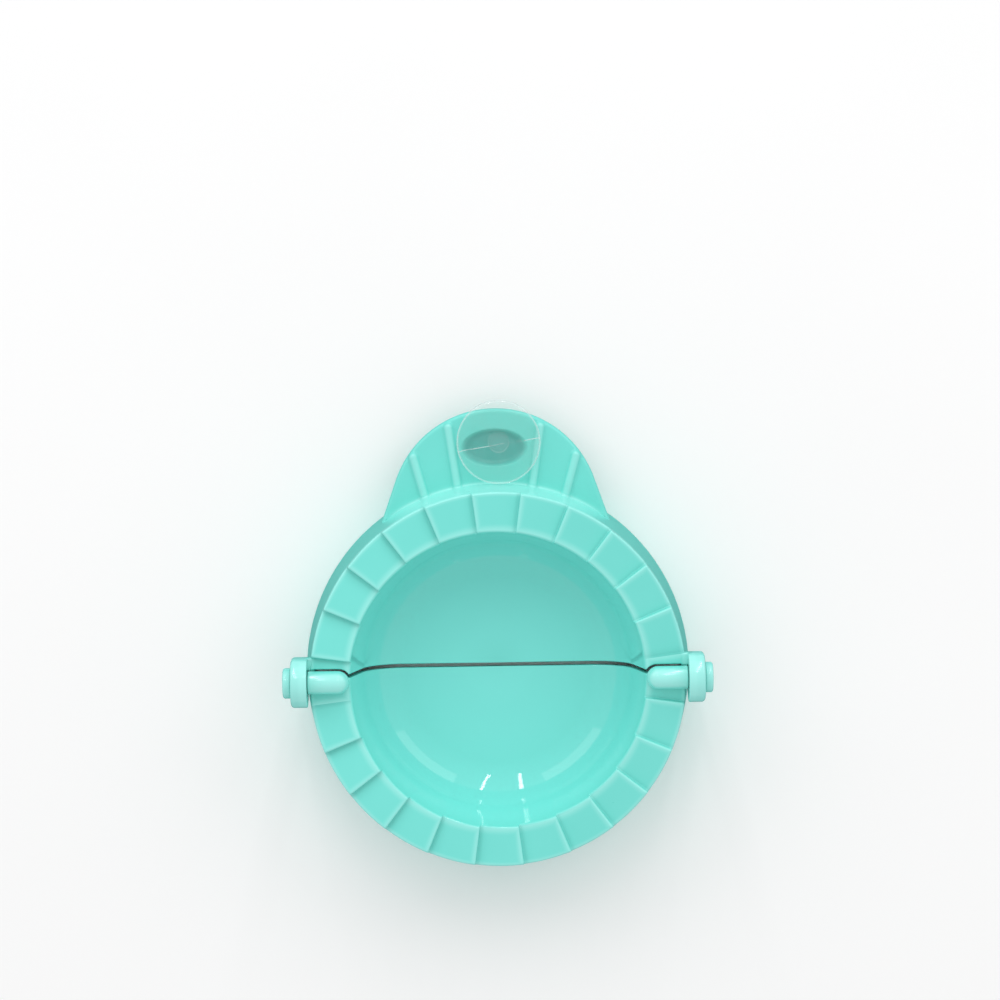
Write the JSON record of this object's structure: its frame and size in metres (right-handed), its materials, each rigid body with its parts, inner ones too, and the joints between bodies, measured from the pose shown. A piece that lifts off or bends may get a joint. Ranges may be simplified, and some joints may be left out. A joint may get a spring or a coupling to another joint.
{
  "type": "ravioli mold",
  "caption": "Hinged round plastic mould that folds over a disc of dough, with a bowl for filling, a sawtooth crimping ring, a cutter skirt and a ribbed finger tab.",
  "frame": {"origin": "centre of the bounding box, on the flat that the open mould rests on", "axes": "+X along the hinge, +Y from the plain half towards the finger tab, +Z out of the open bowl"},
  "size_m": [0.096, 0.1058, 0.027],
  "materials": {
    "mint_plastic": "glossy, slightly translucent moulding",
    "clear_plastic": "clear with a slight haze"
  },
  "bodies": {
    "plain": {"plain_half": "mint_plastic", "left_hinge_pin": "mint_plastic", "right_hinge_pin": "mint_plastic"},
    "handle": {"handle_half": "mint_plastic", "clear_stud": "clear_plastic", "stud_clip": "clear_plastic"}
  },
  "joints": [
    {"name": "fold", "type": "hinge", "parent": "plain", "child": "handle", "pos_m": [0, -0.00915, 0.0215], "axis": [1, 0, 0], "range_deg": [0, 180]}
  ]
}
